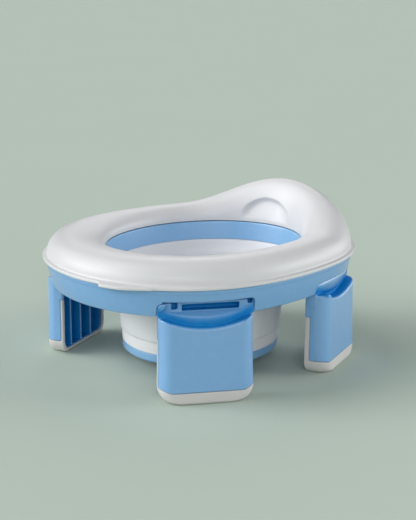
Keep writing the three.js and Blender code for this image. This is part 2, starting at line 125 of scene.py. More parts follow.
def edge(phi):
    """Flange edge points and outward normals at phi, arrays of shape (n, 2)."""
    phi = np.asarray(phi, float)
    r, slope = outline_radius(phi), outline_slope(phi)
    sin, cos = np.sin(phi), np.cos(phi)
    points = np.stack([r * sin, OUTLINE_Y - r * cos], -1)
    tangent = np.stack([slope * sin + r * cos, -slope * cos + r * sin], -1)
    tangent /= np.linalg.norm(tangent, axis=-1, keepdims=True)
    return points, np.stack([tangent[..., 1], -tangent[..., 0]], -1)


def edge_at(degrees):
    points, normals = edge(np.array([math.radians(degrees)]))
    return points[0], normals[0]


def opening(phi):
    r = 1 / np.hypot(np.sin(phi) / OPEN_B, np.cos(phi) / OPEN_A)
    return np.stack([r * np.sin(phi), OPEN_Y - r * np.cos(phi)], -1)


def spokes(phi):
    """Lines from the flange edge to the opening: start points, directions, lengths."""
    start, _ = edge(phi)
    across = opening(phi) - start
    length = np.linalg.norm(across, axis=1)
    return start, across / length[:, None], length


def turn(steps):
    return 2 * np.pi * np.arange(steps) / steps


def smooth(t):
    t = np.clip(t, 0, 1)
    return t * t * (3 - 2 * t)


def ring_drop(z):
    """0 at the base ring's top, 1 at its bottom."""
    return np.clip((RING_TOP - z) / (RING_TOP - RING_BOT), 0, None)


def ring_inset(z):
    return RING_IN_TOP + (RING_IN_BOT - RING_IN_TOP) * ring_drop(z) ** 1.5


# ------------------------------------------------------------------ meshes
def place(name, data):
    obj = bpy.data.objects.new(name, data)
    bpy.context.scene.collection.objects.link(obj)
    return obj


def finish_piece(name, mesh, slot, piece, body):
    mesh.polygons.foreach_set("use_smooth", np.ones(len(mesh.polygons), bool))
    mesh.update()
    mesh.materials.append(MATERIALS[slot])
    obj = place(name, mesh)
    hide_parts(piece)
    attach(obj, body)


def quad_piece(name, verts, quads, slot, piece, body, shade_mask=None):
    verts = np.asarray(verts, np.float32) / 1000.0
    quads = np.asarray(quads, np.int32)
    mesh = bpy.data.meshes.new(name)
    count = len(quads)
    mesh.vertices.add(len(verts))
    mesh.vertices.foreach_set("co", verts.ravel())
    mesh.loops.add(4 * count)
    mesh.loops.foreach_set("vertex_index", quads.ravel())
    mesh.polygons.add(count)
    mesh.polygons.foreach_set("loop_start", np.arange(0, 4 * count, 4, dtype=np.int32))
    mesh.polygons.foreach_set("loop_total", np.full(count, 4, np.int32))
    mesh.update(calc_edges=True)
    mesh.validate()
    # per-vertex mask of painted shade, read by the frame material
    if shade_mask is not None:
        attribute = mesh.attributes.new("shade_mask", "FLOAT", "POINT")
        attribute.data.foreach_set("value", shade_mask.astype(np.float32))
    finish_piece(name, mesh, slot, piece, body)


def swept_piece(name, sections, slot, piece, body):
    """Closed sweep; sections has shape (steps, points round the section, 3)."""
    steps, size = sections.shape[:2]
    verts = sections.reshape(-1, 3)
    i = np.arange(steps)[:, None]
    j = np.arange(size)[None, :]
    here, after = i * size, (i + 1) % steps * size
    along = (j + 1) % size
    quads = np.stack([here + j, after + j, after + along, here + along], -1).reshape(-1, 4)
    # a negative volume means the surface is inside out
    a, b, c, d = (verts[quads[:, k]] for k in range(4))
    volume = sum(np.einsum("ij,ij->i", a, np.cross(*pair)).sum() for pair in ((b, c), (c, d)))
    quads = quads if volume > 0 else quads[:, ::-1]
    quad_piece(name, verts, quads, slot, piece, body)


def rounded_loop(corners, segments):
    """Closed loop through (x, y, r) corners, each rounded by a curve starting r before it."""
    corners = np.array(corners, float)
    points, radii = corners[:, :2], corners[:, 2]
    out = []
    for i, (point, radius) in enumerate(zip(points, radii)):
        before, after = points[i - 1] - point, points[(i + 1) % len(points)] - point
        len_before, len_after = np.linalg.norm(before), np.linalg.norm(after)
        reach = min(radius, len_before * 0.49, len_after * 0.49)
        start, end = point + before / len_before * reach, point + after / len_after * reach
        for j in range(segments + 1):
            t = j / segments
            out.append((1 - t) ** 2 * start + 2 * t * (1 - t) * point + t * t * end)
    return np.array(out)


def resample(points, step):
    """Splits the long sides of a closed loop so that no side is longer than step."""
    out = []
    for i, start in enumerate(points):
        side = points[(i + 1) % len(points)] - start
        parts = max(1, int(math.ceil(np.linalg.norm(side) / step)))
        out += [start + side * j / parts for j in range(parts)]
    return np.array(out)


def catmull(rows, parts):
    """Catmull-Rom curve through the rows, each span cut into parts."""
    rows = np.array(rows, float)
    points = np.vstack([2 * rows[0] - rows[1], rows, 2 * rows[-1] - rows[-2]])
    out = []
    for i in range(1, len(points) - 2):
        a, b, c, d = points[i - 1 : i + 3]
        for j in range(parts):
            t = j / parts
            square = (2 * a - 5 * b + 4 * c - d) * t * t
            out.append(0.5 * (2 * b + (c - a) * t + square + (3 * b - a - 3 * c + d) * t**3))
    out.append(rows[-1])
    return np.array(out)


# ------------------------------------------------------------------ distance functions
# A field is negative inside its solid.
def rmax(a, b, r):
    """Intersection with a rounded edge of radius r."""
    u, v = np.maximum(a + r, 0), np.maximum(b + r, 0)
    return np.minimum(-r, np.maximum(a, b)) + np.sqrt(u * u + v * v)


def rmin(a, b, r):
    """Union with a fillet of radius r."""
    return -rmax(-a, -b, r)


def ellipse(x, y, rx, ry):
    scaled = np.sqrt((x / rx) ** 2 + (y / ry) ** 2) + 1e-6
    slope = np.sqrt((x / rx**2) ** 2 + (y / ry**2) ** 2) + 1e-9
    return scaled * (scaled - 1) / slope


def slab(v, low, high):
    return np.maximum(low - v, v - high)


def cell_points(values, inside, cells):
    """Mean of the zero crossings on each cell's edges, in grid units."""
    total = np.zeros((len(cells), 3))
    hits = np.zeros(len(cells))
    for k in range(3):
        along = np.zeros(3, int)
        along[k] = 1
        i, j = [axis for axis in range(3) if axis != k]
        for di, dj in np.ndindex(2, 2):
            corner = np.zeros(3, int)
            corner[i], corner[j] = di, dj
            start = cells + corner
            value_a = values[tuple(start.T)]
            value_b = values[tuple((start + along).T)]
            cross = (value_a < 0) != (value_b < 0)
            t = value_a[cross] / (value_a[cross] - value_b[cross])
            total[cross] += corner + along * t[:, None]
            hits[cross] += 1
    return cells + total / hits[:, None]


def cell_quads(inside, ids):
    """One quad round every grid edge that crosses the surface, facing outward."""
    count = inside.shape
    quads = []
    for k in range(3):
        i, j = (k + 1) % 3, (k + 2) % 3
        near = np.take(inside, np.arange(count[k] - 1), axis=k)
        far = np.take(inside, np.arange(1, count[k]), axis=k)
        p = np.argwhere(near != far)
        p = p[(p[:, i] > 0) & (p[:, j] > 0) & (p[:, i] < count[i] - 1) & (p[:, j] < count[j] - 1)]
        step_i, step_j = np.zeros(3, int), np.zeros(3, int)
        step_i[i], step_j[j] = 1, 1
        corners = (p - step_i - step_j, p - step_j, p, p - step_i)
        quad = np.stack([ids[tuple(corner.T)] for corner in corners], -1)
        flip = ~near[tuple(p.T)]
        quad[flip] = quad[flip][:, ::-1]
        quads.append(quad)
    return np.concatenate(quads)


def draw_onto(field, points, cell):
    """Moves points along the gradient onto the surface, at most 0.8 cells from their start."""
    start = points.copy()
    for _ in range(4):
        value = field(*points.T)
        gradient = np.zeros_like(points)
        for k in range(3):
            step = 0.05 * np.eye(3)[k]
            gradient[:, k] = (field(*(points + step).T) - field(*(points - step).T)) / 0.1
        square = np.maximum((gradient * gradient).sum(1), 0.3)
        move = -(value / square)[:, None] * gradient
        length = np.linalg.norm(move, axis=1, keepdims=True)
        points = points + move * np.minimum(1, 0.5 * cell / np.maximum(length, 1e-9))
        offset = points - start
        length = np.linalg.norm(offset, axis=1, keepdims=True)
        points = start + offset * np.minimum(1, 0.8 * cell / np.maximum(length, 1e-9))
    return points


def surface(field, low, high, cell):
    """Vertices and quads on the zero surface of field inside the box."""
    low, high = np.array(low, float), np.array(high, float)
    count = np.ceil((high - low) / cell).astype(int) + 1
    x, y, z = ((low[k] + cell * np.arange(count[k])).astype(np.float32) for k in range(3))
    values = field(x[:, None, None], y[None, :, None], z[None, None, :]).astype(np.float32)
    values = np.broadcast_to(values, tuple(count))
    inside = values < 0
    corners_in = np.zeros(tuple(count - 1), np.int8)
    for offset in np.ndindex(2, 2, 2):
        corners_in += inside[tuple(slice(o, n - 1 + o) for o, n in zip(offset, count))]
    active = (corners_in > 0) & (corners_in < 8)
    cells = np.argwhere(active)
    ids = np.full(active.shape, -1, np.int32)
    ids[active] = np.arange(len(cells), dtype=np.int32)
    points = low + cell_points(values, inside, cells) * cell
    return draw_onto(field, points, cell), cell_quads(inside, ids)


# ------------------------------------------------------------------ shader nodes
NOISE_SPAN = (0.3, 0.7)  # the range most noise values fall in


def rgba(code):
    """Linear colour with alpha from an sRGB hex code."""
    parts = [int(code[i : i + 2], 16) / 255 for i in (0, 2, 4)]
    return (*(c / 12.92 if c <= 0.04045 else ((c + 0.055) / 1.055) ** 2.4 for c in parts), 1)


def feed(node, inputs):
    """Sets each input to a value, or links it if given a socket."""
    for key, value in inputs.items():
        if isinstance(value, bpy.types.NodeSocket):
            node.id_data.links.new(value, node.inputs[key])
        else:
            node.inputs[key].default_value = value


def add_node(tree, kind, inputs, **settings):
    node = tree.nodes.new("ShaderNode" + kind)
    for key, value in settings.items():
        setattr(node, key, value)
    feed(node, inputs)
    return node


def noise(tree, scale, detail, rough, stretch=None):
    vector = add_node(tree, "TexCoord", {}).outputs["Object"]
    inputs = {"Scale": scale, "Detail": detail, "Roughness": rough}
    if stretch:
        mapping = add_node(tree, "Mapping", {"Scale": stretch, "Vector": vector})
        vector = mapping.outputs["Vector"]
    return add_node(tree, "TexNoise", {**inputs, "Vector": vector}).outputs["Fac"]


def ramp(tree, source, span, to):
    inputs = {"From Min": span[0], "From Max": span[1], "To Min": to[0], "To Max": to[1]}
    return add_node(tree, "MapRange", {**inputs, "Value": source}).outputs["Result"]


def combine(tree, a, b, **settings):
    return add_node(tree, "Math", {0: a, 1: b}, **settings).outputs[0]


def mix(tree, factor, a, b, **settings):
    inputs = {"Factor": factor, 6: a, 7: b}
    return add_node(tree, "Mix", inputs, data_type="RGBA", **settings).outputs[2]


def bump(tree, height, strength, distance, normal=None):
    inputs = {"Strength": strength, "Distance": distance, "Height": height}
    if normal is not None:
        inputs["Normal"] = normal
    return add_node(tree, "Bump", inputs).outputs["Normal"]


# ------------------------------------------------------------------ materials
MATERIALS = {}


def new_material(name, color, rough):
    material = bpy.data.materials.new(name)
    MATERIALS[name] = material
    material.use_nodes = True
    material.diffuse_color = color
    tree = material.node_tree
    tree.nodes.clear()
    output = add_node(tree, "OutputMaterial", {})
    bsdf = add_node(tree, "BsdfPrincipled", {"Base Color": color, "Roughness": rough})
    feed(output, {"Surface": bsdf.outputs["BSDF"]})
    return tree, bsdf


def plastic(name, code, rough, coat, spread, grain, peel, wear, specular=0.5, scatter=0.0, painted_shade=None):
    """Moulded plastic: colour drift, fine grain, faint waviness, edges rubbed paler and duller.

    spread is the colour drift, grain and peel are bump strengths, wear is the most the edges
    are rubbed. The last argument is a colour of painted shade, mixed in where occlusion is low or the
    mesh marks a recess; coat and specular are also cut there, standing in for shade.
    """
    color = rgba(code)
    tree, bsdf = new_material(name, color, rough)
    slow = noise(tree, scale=14, detail=3, rough=0.55)
    medium = noise(tree, scale=160, detail=4, rough=0.6)
    fine = noise(tree, scale=2600, detail=2, rough=0.6)
    scratch = noise(tree, scale=90, detail=5, rough=0.65, stretch=(1.0, 1.0, 9.0))

    gloss = {"Coat Weight": coat, "Specular IOR Level": specular}
    feed(bsdf, {**gloss, "Coat Roughness": 0.25, "IOR": 1.5})
    base = color
    # painted shade: where ambient occlusion is low or the shade mark is set, the colour shifts to a
    # deeper blue and coat and specular are cut, standing in for the shade in recesses
    if painted_shade:
        occlusion = add_node(
            tree, "AmbientOcclusion", {"Distance": 0.045}, samples=6, only_local=True
        ).outputs["AO"]
        shade_mark = add_node(tree, "Attribute", {}, attribute_name="shade_mask").outputs["Fac"]
        shade_share = ramp(tree, occlusion, span=(0.58, 0.985), to=(1, 0))
        shade_share = combine(tree, shade_share, shade_mark, operation="MAXIMUM")
        base = mix(tree, shade_share, color, rgba(painted_shade))
        for socket, least in (("Coat Weight", 0.05), ("Specular IOR Level", 0.10)):
            full = gloss[socket]
            by_occlusion = ramp(tree, occlusion, span=(0.3, 0.85), to=(least, full))
            by_mark = ramp(tree, shade_mark, span=(0.0, 0.8), to=(full, least))
            feed(bsdf, {socket: combine(tree, by_occlusion, by_mark, operation="MINIMUM")})

    drift = (1 - spread, 1 + spread)
    drifted = add_node(tree, "HueSaturation", {
        "Color": base,
        "Value": ramp(tree, slow, span=NOISE_SPAN, to=drift),
        "Saturation": ramp(tree, medium, span=NOISE_SPAN, to=drift),
    }).outputs["Color"]
    pointiness = add_node(tree, "NewGeometry", {}).outputs["Pointiness"]
    rubbed = combine(
        tree,
        ramp(tree, pointiness, span=(0.52, 0.60), to=(0, 1)),
        ramp(tree, medium, span=(0.45, 0.62), to=(0, wear)),
        operation="MULTIPLY",
    )
    pale = tuple(c + (1 - c) * 0.28 for c in color)

    roughness = combine(
        tree,
        ramp(tree, slow, span=NOISE_SPAN, to=(rough - 0.05, rough + 0.05)),
        ramp(tree, scratch, span=(0.55, 0.75), to=(0, 0.10)),
    )
    grit = ramp(tree, fine, span=NOISE_SPAN, to=(-0.03, 0.03))
    roughness = combine(tree, roughness, grit)
    waves = noise(tree, scale=55, detail=2, rough=0.5)
    normal = bump(tree, waves, strength=peel, distance=0.00035)
    feed(bsdf, {
        "Base Color": mix(tree, rubbed, drifted, pale),
        "Roughness": combine(tree, roughness, rubbed, use_clamp=True),
        "Normal": bump(tree, fine, strength=grain, distance=0.00006, normal=normal),
    })
    if scatter:
        feed(bsdf, {
            "Subsurface Weight": scatter,
            "Subsurface Radius": (1.0, 1.0, 1.0),
            "Subsurface Scale": 0.0015,
        })


def rubber(name, code, rough, grain, sheen, scale):
    """Soft moulded rubber: matt, even grain of the given scale, dusty sheen, faint blotches, and painted
    shade darkening the concave creases.
    """
    color = rgba(code)
    tree, bsdf = new_material(name, color, rough)
    slow = noise(tree, scale=22, detail=4, rough=0.6)
    fine = noise(tree, scale=scale, detail=3, rough=0.65)
    vector = add_node(tree, "TexCoord", {}).outputs["Object"]
    pebbles = add_node(tree, "TexVoronoi", {"Scale": scale * 0.7, "Vector": vector})
    value = ramp(tree, slow, span=NOISE_SPAN, to=(0.965, 1.02))
    blotched = add_node(tree, "HueSaturation", {"Color": color, "Value": value})
    # painted shade: concave creases, found by pointiness, are darkened by up to a tenth
    pointiness = add_node(tree, "NewGeometry", {}).outputs["Pointiness"]
    crease_shade = ramp(tree, pointiness, span=(0.42, 0.5), to=(0.9, 1))
    crease_shade_grey = add_node(tree, "CombineColor", {"Red": crease_shade, "Green": crease_shade, "Blue": crease_shade})
    blotches_and_crease_shade = mix(tree, 1, blotched.outputs["Color"], crease_shade_grey.outputs["Color"], blend_type="MULTIPLY")
    roughness = combine(
        tree,
        ramp(tree, fine, span=NOISE_SPAN, to=(rough - 0.06, rough + 0.06)),
        ramp(tree, slow, span=(0.4, 0.7), to=(0, 0.05)),
    )
    normal = bump(tree, fine, strength=grain, distance=0.00005)
    distance = pebbles.outputs["Distance"]
    feed(bsdf, {
        "Base Color": blotches_and_crease_shade,
        "Roughness": roughness,
        "Normal": bump(tree, distance, strength=0.15, distance=0.00005, normal=normal),
        "Sheen Weight": sheen,
        "Sheen Roughness": 0.5,
        "Specular IOR Level": 0.4,
    })


def steel(name, code, rough):
    tree, bsdf = new_material(name, rgba(code), rough)
    brushed = noise(tree, scale=300, detail=3, rough=0.6, stretch=(20, 1, 1))
    roughness = ramp(tree, brushed, span=NOISE_SPAN, to=(rough - 0.1, rough + 0.1))
    feed(bsdf, {"Roughness": roughness, "Metallic": 1.0})


def materials():
    plastic("seat_white", "D9DADC", rough=0.42, coat=0.15, spread=0.010, grain=0.10,
            peel=0.10, wear=0.2, scatter=0.05)
    # frame blue, with a deeper blue painted into its recesses as shade
    plastic("frame_blue", "76ABDD", rough=0.46, coat=0.9, spread=0.02, grain=0.12,
            peel=0.12, wear=0.3, specular=0.9, painted_shade="0080C8")
    rubber("bowl_white", "ECECEE", rough=0.50, grain=0.5, sheen=0.15, scale=1500)
    plastic("bowl_blue", "80B3DF", rough=0.44, coat=0.6, spread=0.02, grain=0.12,
            peel=0.12, wear=0.25, specular=0.8)
    rubber("grip_white", "D0CECC", rough=0.6, grain=0.7, sheen=0.1, scale=1900)
    steel("pin_steel", "B9BDC2", rough=0.32)


# ------------------------------------------------------------------ seat
# flange from its underside round the edge to the top: inward, z, share of the tab's reach
FLANGE_ROWS = (
    (5.0, FLANGE_Z, 0.0), (3.0, FLANGE_Z, 0.45), (0.9, FLANGE_Z, 1),
    (0.35, FLANGE_Z + 0.12, 1), (0.08, FLANGE_Z + 0.4, 1), (0.0, FLANGE_Z + 0.8, 1),
    (0.0, FLANGE_TOP - 1.1, 1), (0.1, FLANGE_TOP - 0.6, 1), (0.4, FLANGE_TOP - 0.2, 1),
    (0.9, FLANGE_TOP - 0.05, 1), (1.6, FLANGE_TOP, 0.92), (2.2, FLANGE_TOP + 0.03, 0.55),
    (2.8, FLANGE_TOP + 0.1, 0.25), (3.3, FLANGE_TOP + 0.35, 0.08),
)
# inner lip: inward of the opening, z
LIP_ROWS = ((0.12, LIP_Z + 0.9), (0.02, LIP_Z + 0.4), (-0.3, LIP_Z + 0.1), (-0.8, LIP_Z))


def raise_share(degrees):
    """Share of the raise's height round the seat, with a soft foot to each flank."""
    off = np.abs(degrees - RAISE_PHI)
    off = np.minimum(off, 360 - off)
    half = np.where(degrees < RAISE_PHI, *RAISE_HALF)
    power = np.where(degrees < RAISE_PHI, *RAISE_POW)
    share = np.cos(np.pi / 2 * np.clip(off / half, 0, 1)) ** power
    share = np.where(off < half, share, 0)
    reach = 24
    kernel = np.exp(-0.5 * (np.arange(-reach, reach + 1) / 8.0) ** 2)
    kernel /= kernel.sum()
    wrapped = np.concatenate([share[-reach:], share, share[:reach]])
    return np.convolve(wrapped, kernel, "valid")


def tab_reach(phi):
    start, end = np.radians(TAB_PHI)
    u = (phi - start) / (end - start)
    taper = (0.25 + 0.75 * smooth((1 - u) / 0.6)) * smooth((1 - u) / 0.05)
    return np.where((u > 0) & (u < 1), TAB_OUT * smooth(u / 0.13) * taper, 0)


def niche_depth(degrees, z, foot):
    """Depth of the arched niche in the inner face, which starts at height foot."""
    above = degrees > NICHE_PHI
    away = np.abs(degrees - NICHE_PHI) / np.where(above, *NICHE_HALF)
    arch = np.clip(1 - away * away, 0, 1) ** np.where(above, 0.8, 0.95)
    ends = smooth((1 - away) / np.where(above, 0.3, 0.75))
    below = np.clip(foot + 7.9 + 15.8 * arch - z, 0, None)
    brow = np.sin(np.pi / 2 * np.clip(below / 5.5, 0, 1))
    fade = 1 - smooth((below - 5.5) / (6.0 + 14.0 * arch))
    return NICHE_DEEP * ends * np.where(below < 5.5, brow, fade) * smooth((z - foot) / 6)


def columns(rows):
    """Inward distances and heights, each of shape (SEAT_STEPS, rows)."""
    return [np.stack([np.broadcast_to(row[i], SEAT_STEPS) for row in rows], 1) for i in (0, 1)]


def seat_outside(phi, reach):
    """Outer face of the section, from the flange over the crest to the lip."""
    degrees = np.degrees(phi)
    share = raise_share(degrees)
    crest_z = CREST_Z + RAISE_H * share
    crest_in = CREST_IN + 5 * share
    tab = tab_reach(phi)
    rows = [(inward - tab * part, z) for inward, z, part in FLANGE_ROWS]
    foot_in, foot_z = 3.8, FLANGE_TOP + 1.3
    for i in range(CREST_ROWS + 1):
        a = np.pi / 2 * i / CREST_ROWS
        inward = foot_in + (crest_in - foot_in) * (1 - np.cos(a))
        rows.append((inward, foot_z + (crest_z - foot_z) * np.sin(a)))
    bore_z = LIP_Z + 1.4
    for i in range(1, BORE_ROWS + 1):
        a = np.pi / 2 * (i / BORE_ROWS) ** 0.92
        z = bore_z + (crest_z - bore_z) * np.cos(a)
        inward = crest_in + (reach - crest_in) * np.sin(a)
        rows.append((inward - niche_depth(degrees, z, bore_z), z))
    rows += [(reach + inward, z) for inward, z in LIP_ROWS]
    return columns(rows)


def seat_inside(inward, z, reach):
    """Inside of the moulding: every third row of the outer face, one wall in."""
    rows = np.arange(20, z.shape[1] - 5, 3)
    run = inward[:, rows + 1] - inward[:, rows - 1]
    rise = z[:, rows + 1] - z[:, rows - 1]
    length = np.hypot(run, rise)
    inside = inward[:, rows] + rise / length * SEAT_T
    inside_z = z[:, rows] - run / length * SEAT_T
    inside_z = np.maximum(inside_z, FLANGE_Z + FLANGE_T + 1.2)
    inside = np.clip(inside, 7.0, (reach - SEAT_T)[:, None])
    return inside[:, ::-1], inside_z[:, ::-1]


def seat():
    phi = turn(SEAT_STEPS)
    start, direction, reach = spokes(phi)
    outside = seat_outside(phi, reach)
    lip_back = columns([(reach - SEAT_T + 0.5, LIP_Z), (reach - SEAT_T, LIP_Z + 0.6)])
    inside = seat_inside(*outside, reach)
    foot = columns([(7.0, FLANGE_TOP + 0.6), (7.0, FLANGE_Z + 0.4), (6.6, FLANGE_Z)])
    inward, z = (np.concatenate(part, 1) for part in zip(outside, lip_back, inside, foot))
    xy = start[:, None, :] + direction[:, None, :] * inward[:, :, None]
    sections = np.concatenate([xy, z[:, :, None]], 2)
    swept_piece("seat_moulding", sections, "seat_white", "seat_ring", "seat")


# ------------------------------------------------------------------ legs
def leg_frame(name):
    """Origin on the pin axis, outward normal, and the direction of u."""
    phi, mirror = LEGS[name]
    point, normal = edge_at(phi)
    origin = point - normal * (LEG_OUT + AXIS_IN)
    if mirror:
        origin, normal = origin * (-1, 1), normal * (-1, 1)
    return origin, normal, np.array([-normal[1], normal[0]])


def leg_body(x, u, z, inset=0.0, inner_face=True, top=LEG_TOP, top_round=1.2):
    """The leg's outside moved in by inset. Its plan shrinks towards the floor."""
    height = np.clip(z - inset, 0, None)

    def shrink(radius):
        k = np.clip(radius - height, 0, radius)
        return radius - np.sqrt(np.maximum(radius * radius - k * k, 0))

    lean = np.where(z < LEAN_Z, 1.0, 0.5) * (LEAN_Z - z) / LEAN_Z
    outer = x - (OUTER_X - 0.4 + 0.9 * lean - inset - shrink(3.0 - min(inset, 1.8)))
    side = np.abs(u) - (HALF_W + 0.8 * lean - inset - shrink(LEG_R_BOT - inset))
    body = rmax(outer, side, LEG_R - inset)
    body = np.maximum(body, inset - z)
    if inner_face:
        inner = (INNER_X + inset + shrink(4.0 - min(inset, 2.5))) - x
        body = rmax(body, inner, 1.1 if inset == 0 else 0.5)
    return rmax(body, z - top, top_round)


def scoop_z(u):
    return SCOOP_Z + SCOOP_RISE * (np.abs(u) / 36.0) ** 2.1


def trim_zone(x, u, z, gap):
    """Band round the foot and a strip up the inner side."""
    band = z - (TRIM_BAND + gap + 2.2 * smooth((np.abs(u) - 29) / 10.0))
    width = np.where(u < 0, *TRIM_STRIP)
    strip = rmax(x - (INNER_X + width + gap), z - (TRIM_TOP + gap), 0.8)
    return rmin(band, strip, 1.6)


def leg_hollow(x, u, z):
    hollow = leg_body(x, u, z, LEG_T, inner_face=False, top=LEG_TOP - 4, top_round=2.0)
    return rmax(hollow, -rmax(-1.5 - x, scoop_z(u) - 3.4 - z, 1.0), 1.0)


def edge_sag(degrees):
    """How fast the flange edge falls away from its tangent, per square of the distance."""
    origin, normal = edge_at(degrees)
    tangent = np.array([-normal[1], normal[0]])
    sag = 0
    for step in (-14, 14):
        away = edge_at(degrees + step)[0] - origin
        sag += -(away @ normal) / (away @ tangent) ** 2
    return sag / 2


def front_neck(x, u, z, ring_x, bow):
    """Upright face and sloped ledge, with a flush cheek at the negative u end."""
    front = np.maximum(OUTER_X - RING_IN_BOT + LEG_OUT - 0.1 - bow, 2.4)
    face = rmax(x - 2.5, z - NECK_TOP, 0.8)
    ledge = rmax(((x - 2.5) * 6 + (z - 77.5) * 7) / 9.22, x - front, 1.0)
    # the cheek flares out low down to meet the leg's shoulder
    drop = np.clip(84.0 - z, 0, CHEEK_R)
    flare = CHEEK - CHEEK_R + np.sqrt(np.clip(CHEEK_R**2 - drop**2, 0, None))
    cheek = np.maximum(x - ring_x + 0.15, 72.6 - z)
    cheek = rmax(cheek, rmax(u - flare, z - 84.9, 0.6), 0.5)
    cheek = np.maximum(cheek, rmax(-u - NECK_HALF, z - 84.9, 4.4))
    return rmin(rmin(face, ledge, 0.7), cheek, 1.0)


def back_neck(x, z, ring_x, bow):
    """Barrel round the pin axis on a column."""
    barrel = rmax(np.hypot(x, z - AXIS_Z) - (10.25 - bow), x - ring_x + 0.2, 0.8)
    column = rmax(x - 3.4, z - AXIS_Z, 0.5)
    return rmin(barrel, column, 1.5)


def cut_pockets(neck, x, u, z, behind):
    slot = rmax(slab(u, -19.8, 27.5), slab(z, 77.9, 82.7), 0.6)
    slot = rmax(slot, np.maximum(-4.0 - x, behind), 0.2)
    neck = rmax(neck, -slot, 0.3)
    for low, high, bottom, floor in NECK_POCKETS:
        pocket = rmax(slab(u, low, high), bottom - z, 0.8)
        pocket = rmax(pocket, np.maximum(floor - x, behind), 0.3)
        neck = rmax(neck, -pocket, 0.4)
    return neck


def leg_neck(x, u, z, front_leg, sag):
    bow = u * u * sag
    ring_x = OUTER_X + LEG_OUT - ring_inset(z) - bow
    if front_leg:
        neck = front_neck(x, u, z, ring_x, bow)
    else:
        neck = back_neck(x, z, ring_x, bow)
    # sloped inner side, then the ends and the bottom
    back = ((-x - 2.2) * 5 + (z - 85) * 2.8) / 5.73
    neck = rmax(neck, np.maximum(back, z - NECK_TOP), 0.8)
    neck = np.maximum(neck, -5.0 - x)
    across = np.abs(u)
    low_half = HALF_W + 0.4 * (LEAN_Z - z) / LEAN_Z - 0.05
    neck = rmax(neck, across - np.where(z < 72.9, low_half, NECK_HALF), 0.3)
    neck = np.maximum(neck, 61.0 - z)
    # hollow under the middle
    neck = rmax(neck, -rmax(rmax(x - 0.2, across - 26, 1.0), z - 76.2, 1.5), 0.6)
    if front_leg:
        neck = cut_pockets(neck, x, u, z, back + 1.0)
    return neck


def leg_shell_field(front_leg):
    sag = edge_sag(FRONT_PHI if front_leg else BACK_PHI)

    def field(x, u, z):
        shell = rmax(leg_body(x, u, z), -leg_hollow(x, u, z), 0.7)
        within = leg_body(x, u, z, 2.6, top=LEG_TOP - 2)
        for rib_u in LEG_RIB_U:
            rib = rmax(np.abs(u - rib_u) - 1.0, -3 - x, 0.5)
            rib = np.maximum(rib, np.maximum(within, z - scoop_z(u) + 1.0))
            shell = rmin(shell, rib, 0.9)
        # scoop behind the lip of the outer face
        scoop = np.maximum(scoop_z(u) + 0.9 - z, 1.0 - x)
        if not front_leg:
            scoop = rmax(scoop, -29.0 - u, 7.0)
        shell = rmax(shell, -scoop, 2.6)
        shell = rmin(shell, leg_neck(x, u, z, front_leg, sag), 0.8)
        # pin holes from both ends
        pin = np.maximum(np.hypot(x, z - AXIS_Z) - (PIN_R + GAP), 33.0 - np.abs(u))
        shell = rmax(shell, -pin, 0.2)
        skin = leg_body(x, u, z, TRIM_T + GAP)
        rebate = np.maximum(-skin, trim_zone(x, u, z, GAP))
        return rmax(shell, -rebate, 0.25)

    return field


def leg_trim_field(x, u, z):
    trim = np.maximum(leg_body(x, u, z), -leg_body(x, u, z, TRIM_T))
    trim = rmax(trim, trim_zone(x, u, z, 0.0), 0.4)
    return rmax(trim, -leg_hollow(x, u, z), 0.5)


def scoop_shade_mask(points):
    """Mask for painted shade in the leg's scoop: highest on its floor, fading out over its lip and up the
    neck.
    """
    x, u, z = points.T
    up = z - scoop_z(u)
    span = smooth((OUTER_X - 0.5 - x) / 2.2) * smooth((x - 0.3) / 1.2)
    return 0.92 * span * smooth((up + 1.5) / 1.5) * (1 - smooth((up - 2.5) / 11.0))


def legs():
    low = (INNER_X - 2.05, -HALF_W - 2.9, -2.03)
    high = (OUTER_X + 2.9, HALF_W + 2.9, 87.3)
    shells = {front: surface(leg_shell_field(front), low, high, LEG_CELL) for front in (True, False)}
    trim = surface(leg_trim_field, low, (*high[:2], TRIM_TOP + 2), LEG_CELL)
    for name in LEGS:
        origin, normal, along = leg_frame(name)
        shell = shells[name.startswith("front")]
        for kind, (points, quads), slot in (("shell", shell, "frame_blue"), ("trim", trim, "grip_white")):
            xy = origin + points[:, :1] * normal + points[:, 1:2] * along
            quad_piece(
                "leg_" + kind + "_moulding_" + name, np.column_stack([xy, points[:, 2]]), quads,
                slot, "leg_" + kind + "_" + name, "leg_" + name,
                shade_mask=scoop_shade_mask(points) if kind == "shell" else None,
            )


def hinge_pins():
    for name in LEGS:
        for tag in "ab":
            pin = frame["nodes"]["hinge_pin_%s_%s" % (name, tag)]
            pin.data.materials.clear()
            pin.data.materials.append(MATERIALS["pin_steel"])


# ------------------------------------------------------------------ base ring
def edge_depth(x, y):
    """Distance inward from the flange edge."""
    phi = np.arctan2(x, OUTLINE_Y - y)
    r = np.hypot(x, y - OUTLINE_Y)
    radius, slope = outline_radius(phi), outline_slope(phi)
    return (radius - r) * radius / np.hypot(radius, slope)


def leg_window(x, u, z, front_leg):
    """Opening in the ring's wall for a leg's neck."""
    half = WINDOW_W / 2
    top = WINDOW_TOP_FRONT if front_leg else WINDOW_TOP_BACK
    window = rmax(np.abs(u) - half, z - top, 4.0 if front_leg else 1.0)
    if front_leg:
        # lower over the flush cheek, with a large corner
        low = rmax(-u - half, z - 85.3, 4.6)
        window = np.maximum(window, CHEEK - 2.5 - u)
        window = np.minimum(window, np.maximum(low, u - CHEEK + 2.3))
    return np.maximum(window, slab(x, -9.0, 24.0))


